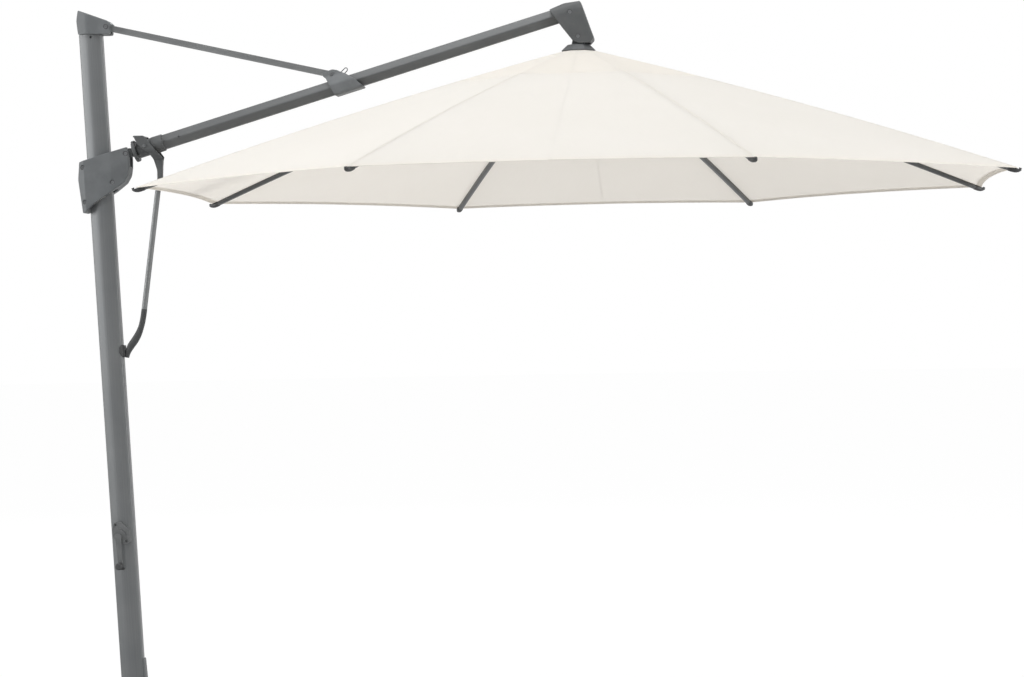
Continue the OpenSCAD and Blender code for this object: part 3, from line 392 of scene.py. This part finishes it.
# castings and mouldings: the CAD shape with its edges rounded off as the mould leaves them.
# voxel is the skin's cell in mm, rounds how often it is relaxed
cast, moulded = "graphite_casting", "black_plastic"
softEdges = {
    "mastHeadCasting": {"node": "mast_head", "body": "mast", "voxel": 1.4, "rounds": 4, "slot": cast},
    "carriageNear": {"node": "carriage_left", "body": "carriage", "voxel": 1.5, "rounds": 3, "slot": cast},
    "carriageFar": {"node": "carriage_right", "body": "carriage", "voxel": 1.5, "rounds": 3, "slot": cast},
    "armBracketCasting": {"node": "arm_bracket", "body": "arm_base", "voxel": 1.3, "rounds": 6, "slot": cast},
    "tiltCollarCasting": {"node": "tilt_collar", "body": "arm_base", "voxel": 1.1, "rounds": 5, "slot": cast},
    "rootSleeveCasting": {"node": "root_sleeve", "body": "arm", "voxel": 1.2, "rounds": 4, "slot": cast},
    "headBracketCasting": {"node": "head_bracket", "body": "arm", "voxel": 1.4, "rounds": 4, "slot": cast},
    "leverYokeCasting": {"node": "lever_yoke", "body": "lever", "voxel": 1.2, "rounds": 6, "slot": cast},
    "crownCapCasting": {"node": "crown_cap", "body": "crown", "voxel": 1.3, "rounds": 5, "slot": cast},
    "footCasting": {"node": "mast_foot", "body": "mast", "voxel": 1.8, "rounds": 6, "slot": cast},
    "crankHousingMoulding": {"node": "crank_housing", "body": "mast", "voxel": 0.6, "rounds": 1,
                             "slot": moulded},
    "crankArmMoulding": {"node": "crank_arm", "body": "crank", "voxel": 0.8, "rounds": 3, "slot": moulded},
    "leverClipMoulding": {"node": "lever_clip", "body": "mast", "voxel": 0.8, "rounds": 4, "slot": moulded},
    "leverGripMoulding": {"node": "lever_grip", "body": "lever", "voxel": 1.1, "rounds": 8, "slot": moulded},
    "pedalMoulding": {"node": "foot_pedal", "body": "pedal", "voxel": 1.3, "rounds": 6, "slot": moulded},
}

# small pulls on the moulded shapes, in mm: where, how far round it, and by how much
carriagePulls = [((-138, 0, 2004), 32, (0, 0, 9)), ((-60, 0, 2050), 70, (0, 0, 3))]
pulls = {
    "leverGripMoulding": [((34, 0, 1500), 110, (4, 0, -3)), ((2, 0, 1428), 36, (-8, 0, -3)),
                          ((18, 0, 1475), 80, 4.0)],
    "headBracketCasting": [((1850, 0, 2615), 60, (0, 0, 5))],
    "carriageNear": carriagePulls,
    "carriageFar": carriagePulls,
}


def pullVerts(bm, rows):
    # proportional pull with a smooth falloff
    bm.normal_update()
    for place, reach, by in rows:
        for vert in bm.verts:
            away = (vert.co / mm - Vector(place)).length / reach
            if away < 1:
                step = vert.normal * by if isinstance(by, float) else Vector(by)  # a plain number swells it
                vert.co += step * mm * (1 - away * away) ** 2


def roundedCopy(name, s):
    # voxel skin over a copy of the solid, relaxed a few times
    bm = bmesh.new()
    bm.from_mesh(nodes[s["node"]].data)
    bmesh.ops.remove_doubles(bm, verts=bm.verts, dist=weld)
    finish = nodes[s["node"]].data.materials[0]
    piece = addPiece(name, bm, finish)
    skin = piece.modifiers.new("skin", "REMESH")
    skin.mode = "VOXEL"
    skin.voxel_size = s["voxel"] * mm
    skin.use_smooth_shade = True
    graph = bpy.context.evaluated_depsgraph_get()
    mesh = bpy.data.meshes.new_from_object(piece.evaluated_get(graph))
    piece.modifiers.clear()
    piece.data = mesh
    bm = bmesh.new()
    bm.from_mesh(mesh)
    for k in range(s["rounds"]):
        bmesh.ops.smooth_vert(bm, verts=bm.verts, factor=0.5, use_axis_x=True, use_axis_y=True, use_axis_z=True)
    pullVerts(bm, pulls.get(name, []))
    bm.to_mesh(mesh)
    bm.free()
    mesh.materials.clear()
    mesh.materials.append(finish)
    mesh.polygons.foreach_set("use_smooth", [True] * len(mesh.polygons))
    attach(piece, s["body"])
    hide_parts(s["node"])


for name, s in softEdges.items():
    roundedCopy(name, s)


# painted shade: dark rings put in the recesses round the screw heads, where the gaps are in shade
shadeRing = {"gap": 0.2 * mm, "wide": 2.4 * mm, "high": 2.6 * mm, "under": 0.1 * mm, "steps": 40,
            "screws": {"carriage_bolts": "carriage", "head_bolts": "arm", "rod_head_pin": "mast"},
            "radius": (4 * mm, 9 * mm)}


def looseParts(mesh):
    # corner boxes of the separate solids in a mesh
    bm = bmesh.new()
    bm.from_mesh(mesh)
    bmesh.ops.remove_doubles(bm, verts=bm.verts, dist=weld)
    left, boxes = set(bm.verts), []
    while left:
        part, edge = set(), [left.pop()]
        while edge:
            vert = edge.pop()
            part.add(vert)
            for link in vert.link_edges:
                other = link.other_vert(vert)
                if other in left:
                    left.discard(other)
                    edge.append(other)
        low = Vector([min(v.co[k] for v in part) for k in range(3)])
        high = Vector([max(v.co[k] for v in part) for k in range(3)])
        boxes.append((low, high))
    bm.free()
    return boxes


def makeShadeRings(name, node, body):
    smallest, largest = shadeRing["radius"]
    bm = bmesh.new()
    for low, far in looseParts(nodes[node].data):
        centre, inner = (low + far) / 2, (far.x - low.x) / 2 + shadeRing["gap"]
        if not smallest < inner < largest:
            continue
        for side, y in ((-1, low.y), (1, far.y)):
            start, wide, high = Vector((inner, 0, 0)), shadeRing["wide"], side * shadeRing["high"]
            corners = ((0, 0, 0), (wide, 0, 0), (wide, high, 0), (0, high, 0))
            ring = [bm.verts.new(start + Vector(corner)) for corner in corners]
            face = bm.faces.new(ring)
            bmesh.ops.spin(bm, geom=[face] + list(face.edges) + ring, cent=(0, 0, 0), axis=(0, 1, 0),
                           angle=math.tau, steps=shadeRing["steps"], use_merge=True)
            seat = Vector((centre.x, y - side * (shadeRing["high"] + shadeRing["under"]), centre.z))
            for vert in bm.verts:
                if not vert.tag:  # the rings already seated are tagged
                    vert.co += seat
                    vert.tag = True
    bmesh.ops.remove_doubles(bm, verts=bm.verts, dist=0.01 * mm)
    bmesh.ops.recalc_face_normals(bm, faces=bm.faces)
    markSharp(bm, 40)
    # the rings' dark nylon paints the shade of the gap round each head
    piece = addPiece(name, bm, materials["nylon"])
    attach(piece, body)


for node, body in shadeRing["screws"].items():
    makeShadeRings(f"shadeRings_{node}", node, body)
print("castings rounded")

# frame of the canopy, in metres: the bow of a rib from its pivot to its tip
ribs = {"axis": 1.797, "pivotR": 0.062, "rootZ": 2.5678, "tipR": 1.738, "tipZ": 2.039, "bow": 0.017,
        "width": 0.020, "height": 0.016, "cap": 0.046, "tuck": 0.004, "edge": 0.007, "steps": 40}
chord = math.hypot(ribs["tipR"] - ribs["pivotR"], ribs["rootZ"] - ribs["tipZ"])
drop = math.atan2(ribs["rootZ"] - ribs["tipZ"], ribs["tipR"] - ribs["pivotR"])
bowR = (chord ** 2 / 4 + ribs["bow"] ** 2) / (2 * ribs["bow"])
bowHalf = math.asin(chord / 2 / bowR)
bowCentre = (Vector((ribs["pivotR"], ribs["rootZ"])) + Vector((ribs["tipR"], ribs["tipZ"]))) / 2 \
    - (bowR - ribs["bow"]) * Vector((math.sin(drop), math.cos(drop)))


def onRib(share, up):
    # radius and height at a share of the rib's length, raised off its centre line
    a = drop + bowHalf * (2 * share - 1)
    return bowCentre + (bowR + up) * Vector((math.sin(a), math.cos(a)))


def ribAngle(i):
    return math.radians(22.5 + 45 * (i - 1))


def ribTurn(i):
    return Matrix.Translation((ribs["axis"], 0, 0)) @ Matrix.Rotation(ribAngle(i), 4, "Z")


def ribOutline(grow):
    # across and up: a flat top and a belly with rounded corners
    w, h, r = ribs["width"] / 2 + grow, ribs["height"] / 2 + grow, ribs["edge"] + grow
    ring = [(-w, h), (w, h)]
    for k in range(7):
        a = math.radians(15 * k)
        ring.append((w - r + r * math.cos(a), -h + r - r * math.sin(a)))
    for k in range(7):
        a = math.radians(90 - 15 * k)
        ring.append((-w + r - r * math.cos(a), -h + r - r * math.sin(a)))
    return ring


def makeRib(i):
    # the profile, spun about the centre of its bow
    start = onRib(0, 0)
    bm = bmesh.new()
    out = Vector((math.sin(drop - bowHalf), 0, math.cos(drop - bowHalf)))
    verts = [bm.verts.new(Vector((start.x, y, start.y)) + out * z) for y, z in ribOutline(0)]
    face = bm.faces.new(verts)
    share = 1 - (ribs["cap"] - ribs["tuck"]) / chord  # its end is tucked into the cap
    bmesh.ops.spin(bm, geom=[face] + list(face.edges) + list(face.verts), cent=(bowCentre.x, 0, bowCentre.y),
                   axis=(0, 1, 0), angle=2 * bowHalf * share, steps=ribs["steps"], use_duplicate=False)
    bmesh.ops.holes_fill(bm, edges=bm.edges, sides=0)
    bmesh.ops.recalc_face_normals(bm, faces=bm.faces)
    markSharp(bm, 40)
    bm.transform(ribTurn(i))
    piece = addPiece(f"ribProfile_{i}", bm, materials["plainBar"])
    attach(piece, f"rib_{i}")
    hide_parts(f"rib_{i}")


# boat-shaped end cap: how far along in mm, how deep and how wide it is there; the post that the cloth's
# corner hooks on stands on it, with a button round its top
ribCap = {"stations": [(2, 1.03, 1.03), (16, 1.02, 1.02), (25, 0.96, 0.97), (32, 0.84, 0.88), (38, 0.66, 0.74),
                       (43, 0.42, 0.55), (46.5, 0.16, 0.26)], "grow": 0.8 * mm, "tuck": 0.0041,
          "post": 4.5 * mm, "postIn": 0.001, "postFoot": -2 * mm, "postHeight": 5.5 * mm,
          "head": 5.6 * mm, "headHigh": 3 * mm, "taper": 0.92, "sides": 20}


def makeRibCap(i):
    w, h = ribs["width"] / 2 + ribCap["grow"], ribs["height"] / 2 + ribCap["grow"]
    a = drop + bowHalf
    along, up = Vector((math.cos(a), 0, -math.sin(a))), Vector((math.sin(a), 0, math.cos(a)))
    first = onRib(1 - (ribs["cap"] - ribCap["tuck"]) / chord, 0)
    bm = bmesh.new()
    face = bm.faces.new([bm.verts.new((0, y, z)) for y, z in ribOutline(ribCap["grow"])])
    last = 0
    for place, deep, wide in ribCap["stations"]:
        made = bmesh.ops.extrude_face_region(bm, geom=[face])["geom"]
        verts = [g for g in made if isinstance(g, bmesh.types.BMVert)]
        face = [g for g in made if isinstance(g, bmesh.types.BMFace)][0]
        bmesh.ops.translate(bm, verts=verts, vec=((place - last) * mm, 0, 0))
        width = max(v.co.y for v in verts)
        depth = h - min(v.co.z for v in verts)
        for vert in verts:
            vert.co.y *= w * wide / width
            vert.co.z = h - (h - vert.co.z) * (2 * h * deep) / depth
        last = place
    bmesh.ops.recalc_face_normals(bm, faces=bm.faces)
    bm.transform(Matrix.Translation(Vector((first.x, 0, first.y))) @ Matrix(
        ((along.x, 0, up.x, 0), (0, 1, 0, 0), (along.z, 0, up.z, 0), (0, 0, 0, 1))))
    post = onRib(1 - ribCap["postIn"] / chord, h)
    high = ribCap["postHeight"]
    for radius, low in ((ribCap["post"], ribCap["postFoot"]), (ribCap["head"], high - ribCap["headHigh"])):
        made = bmesh.ops.create_cone(bm, cap_ends=True, segments=ribCap["sides"], radius1=radius,
                                     radius2=radius * ribCap["taper"], depth=high - low)["verts"]
        bmesh.ops.transform(bm, verts=made, matrix=Matrix.Translation(
            Vector((post.x, 0, post.y)) + up * (low + high) / 2) @ Matrix.Rotation(a, 4, "Y"))
    bm.transform(ribTurn(i))
    markSharp(bm, 50)
    piece = addPiece(f"ribCap_{i}", bm, materials["nylon"])
    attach(piece, f"rib_{i}")
    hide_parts(f"rib_{i}")


for i in range(1, 9):
    makeRib(i)
    makeRibCap(i)
print("ribs and caps made")

# cloth of the canopy: one sewn cover, made as eight parts that meet halfway between the ribs.
# lie is how much of it rests on a rib; hemCurve and sag are how far it hangs in and down between two ribs
cloth = {"inner": 0.066, "outer": 0.992, "gap": 0.003, "lie": 0.012, "hemCurve": 0.026, "hemRise": 0.25,
         "sag": 0.009, "up": 1.1 * mm, "thick": 1.0 * mm, "across": 40, "crowd": 1.25, "down": 96,
         "sagTurn": 200, "ripple": 0.7 * mm, "rippleScale": 3, "rippleRise": 4, "rippleSeed": (7, 4.2)}
clothHem = {"wide": 0.024, "over": 1.0005, "up": 1.9 * mm, "thick": 2.4 * mm, "down": 5}
crownPatch = {"radius": 0.498, "lift": 0.05, "up": 2.1 * mm, "thick": 0.9 * mm, "down": 40}
ribSeam = {"half": 0.005, "end": 0.985, "up": 1.8 * mm, "thick": 0.8 * mm, "across": 8, "down": 80}

clothIn = (cloth["inner"] - ribs["pivotR"]) / (ribs["tipR"] - ribs["pivotR"])
clothLength = chord * (cloth["outer"] - clothIn)


def clothPoint(i, s, t, up):
    # s across as a share of the half panel, -1 to 1; t from crown to hem, 0 to 1
    p = onRib(clothIn + (cloth["outer"] - clothIn) * t, ribs["height"] / 2 + cloth["gap"] + up)
    gap = 2 * p.x * math.sin(math.radians(22.5))
    v = min(0.5, abs(s) * 0.5)
    side = 1 if s >= 0 else -1
    a = ribAngle(i)
    b = a + side * math.radians(45)
    lie = cloth["lie"] / gap
    free = max(0, (v - lie) / (0.5 - lie))
    bulge = free * (2 - free)
    xy = Vector((math.cos(a), math.sin(a))).lerp(Vector((math.cos(b), math.sin(b))), v) * p.x
    xy *= 1 - bulge * cloth["hemCurve"] * t * t / p.x
    rise = cloth["hemCurve"] * t * t * cloth["hemRise"]
    hang = cloth["sag"] * math.sin(math.radians(min(180, cloth["sagTurn"] * t))) - rise
    z = p.y - bulge * hang
    panelSeed, seed = cloth["rippleSeed"]
    spot = Vector((xy.x * cloth["rippleScale"] + panelSeed * i, xy.y * cloth["rippleScale"], seed))
    wave = noise.noise(spot) * cloth["ripple"] * bulge * min(1, cloth["rippleRise"] * t)
    return Vector((ribs["axis"] + xy.x, xy.y, z + wave)), gap


def clothStrip(name, i, s, rows, material, half=None):
    # a grid laid on the canopy's surface, then given its thickness; half is the half width of a strip that
    # follows the rib, and lift keeps the lower edge straight between two ribs
    bm = bmesh.new()
    uvs = bm.loops.layers.uv.new("cloth")
    across = s.get("across", cloth["across"])
    bmesh.ops.create_grid(bm, x_segments=across, y_segments=len(rows) - 1, size=1)
    where = {}
    for vert in bm.verts:
        k = round((vert.co.y + 1) / 2 * (len(rows) - 1))
        c = vert.co.x
        crowded = abs(c) ** cloth["crowd"]  # narrower columns near the rib
        t = rows[k] * (1 - s.get("lift", 0) * crowded * (2 - crowded))
        if half is None:
            share = math.copysign(crowded, c)
        else:
            gap = clothPoint(i, 0, t, s["up"])[1]
            share = c * half * 2 / gap
        point, gap = clothPoint(i, share, t, s["up"])
        aside = share * gap / 2
        if half is None:
            where[vert] = (aside, clothLength * (rows[-1] - rows[k]))
        else:
            where[vert] = (clothLength * t, half - abs(aside))
        vert.co = point
    for face in bm.faces:
        for loop in face.loops:
            loop[uvs].uv = where[loop.vert]
    faces = list(bm.faces)
    if sum(f.normal.z for f in faces) < 0:
        bmesh.ops.reverse_faces(bm, faces=faces)
    bmesh.ops.solidify(bm, geom=faces, thickness=s["thick"])
    bmesh.ops.recalc_face_normals(bm, faces=bm.faces)
    markSharp(bm, 45)
    piece = addPiece(name, bm, material)
    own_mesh(piece)
    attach(piece, f"rib_{i}")
    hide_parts("canopy")
    return piece


def spread(low, high, n):
    return [low + (high - low) * k / n for k in range(n + 1)]


sewn = materials["canvasSewn"]
hemT = 1 - clothHem["wide"] / clothLength
ringT = (crownPatch["radius"] - cloth["inner"]) / (ribs["tipR"] * cloth["outer"] - cloth["inner"])
for i in range(1, 9):
    sheetPiece = clothStrip(f"canopyCloth_{i}", i, cloth, spread(0, 1, cloth["down"]), materials["canvas"])
    hem = clothStrip(f"canopyHem_{i}", i, clothHem, spread(hemT, clothHem["over"], clothHem["down"]), sewn)
    top = clothStrip(f"canopyTop_{i}", i, crownPatch, spread(0, ringT, crownPatch["down"]), sewn)
    seam = clothStrip(f"canopySeam_{i}", i, ribSeam, spread(ringT, ribSeam["end"], ribSeam["down"]), sewn,
                      ribSeam["half"])
print("canopy made")


def seenRays(tree, scattered):
    # 1 on the rays that see the surround, in the camera, in metal or through glass; scattered takes in the
    # light that comes through cloth
    path = addNode(tree, "ShaderNodeLightPath")
    through = path.outputs["Is Transmission Ray"]
    if not scattered:
        through = addNode(tree, "ShaderNodeMath", {}, {0: through, 1: path.outputs["Is Diffuse Ray"]},
                          operation="SUBTRACT").outputs[0]
    clear = addNode(tree, "ShaderNodeMath", {}, {0: path.outputs["Is Camera Ray"], 1: through},
                    operation="MAXIMUM")
    return addNode(tree, "ShaderNodeMath", {}, {0: clear.outputs[0], 1: path.outputs["Is Glossy Ray"]},
                   operation="MAXIMUM").outputs[0]


# pale floor that keeps a share of its shadow, and a plain white surround
ground = {"dark": "#c2c2c1", "light": "#c8c8c7", "speck": 25 * mm, "roughness": 0.9, "glow": 1.06,
          "share": 0.92, "radius": 60, "under": 0.5 * mm}
room = {"white": 1.0, "light": 0.2}

bm = bmesh.new()
bmesh.ops.create_circle(bm, cap_ends=True, segments=64, radius=ground["radius"])
floorMaterial, tree = newMaterial("paleFloor")
place = addNode(tree, "ShaderNodeTexCoord").outputs["Object"]
speck = addNode(tree, "ShaderNodeTexNoise", {"Scale": 1 / ground["speck"], "Detail": 2}, {"Vector": place})
floorTone = addNode(tree, "ShaderNodeValToRGB", links={"Fac": speck.outputs["Fac"]},
                    stops=[(0.3, ground["dark"]), (0.7, ground["light"])])
floorShader = addNode(tree, "ShaderNodeBsdfPrincipled", {"Roughness": ground["roughness"]},
                      {"Base Color": floorTone.outputs["Color"]})
glow = addNode(tree, "ShaderNodeEmission", {"Color": (1, 1, 1, 1), "Strength": ground["glow"]})
share = addNode(tree, "ShaderNodeMath", {1: ground["share"]}, {0: seenRays(tree, False)}, operation="MULTIPLY")
blend = addNode(tree, "ShaderNodeMixShader", {},
                {0: share.outputs[0], 1: floorShader.outputs[0], 2: glow.outputs[0]})
addNode(tree, "ShaderNodeOutputMaterial", links={"Surface": blend.outputs[0]})
floor = addPiece("floor", bm, floorMaterial, False)
floor.data.transform(Matrix.Translation((0, 0, -ground["under"])))

world = bpy.data.worlds.new("studio")
world.use_nodes = True
bpy.context.scene.world = world
tree = world.node_tree
tree.nodes.clear()
strength = addNode(tree, "ShaderNodeMapRange", {"To Min": room["light"], "To Max": room["white"]},
                   {"Value": seenRays(tree, True)})
sky = addNode(tree, "ShaderNodeBackground", {"Color": (1, 1, 1, 1)}, {"Strength": strength.outputs[0]})
addNode(tree, "ShaderNodeOutputWorld", links={"Surface": sky.outputs[0]})

# soft boxes: where each stands, what it looks at, its width and height, and its power
lamps = {
    "leftLamp": {"place": (-9, -4, 3.4), "to": (0.2, 0, 1.7), "size": (2.2, 5), "power": 560},
    "rightLamp": {"place": (9.6, -3.2, 2.6), "to": (0.4, 0, 1.9), "size": (2.2, 4), "power": 360},
    "topLamp": {"place": (0.9, -2.2, 8.5), "to": (1.5, 0, 2.2), "size": (6, 6), "power": 430},
    "backLamp": {"place": (-1.5, 9.5, 5), "to": (0.8, 0, 1.7), "size": (5, 3), "power": 200},
}
for name, s in lamps.items():
    data = bpy.data.lights.new(name, "AREA")
    data.shape = "RECTANGLE"
    data.size, data.size_y = s["size"]
    data.energy = s["power"]
    lamp = bpy.data.objects.new(name, data)
    lamp.location = s["place"]
    lamp.rotation_euler = (Vector(s["to"]) - Vector(s["place"])).to_track_quat("-Z", "Y").to_euler()
    bpy.context.scene.collection.objects.link(lamp)
print("studio made")
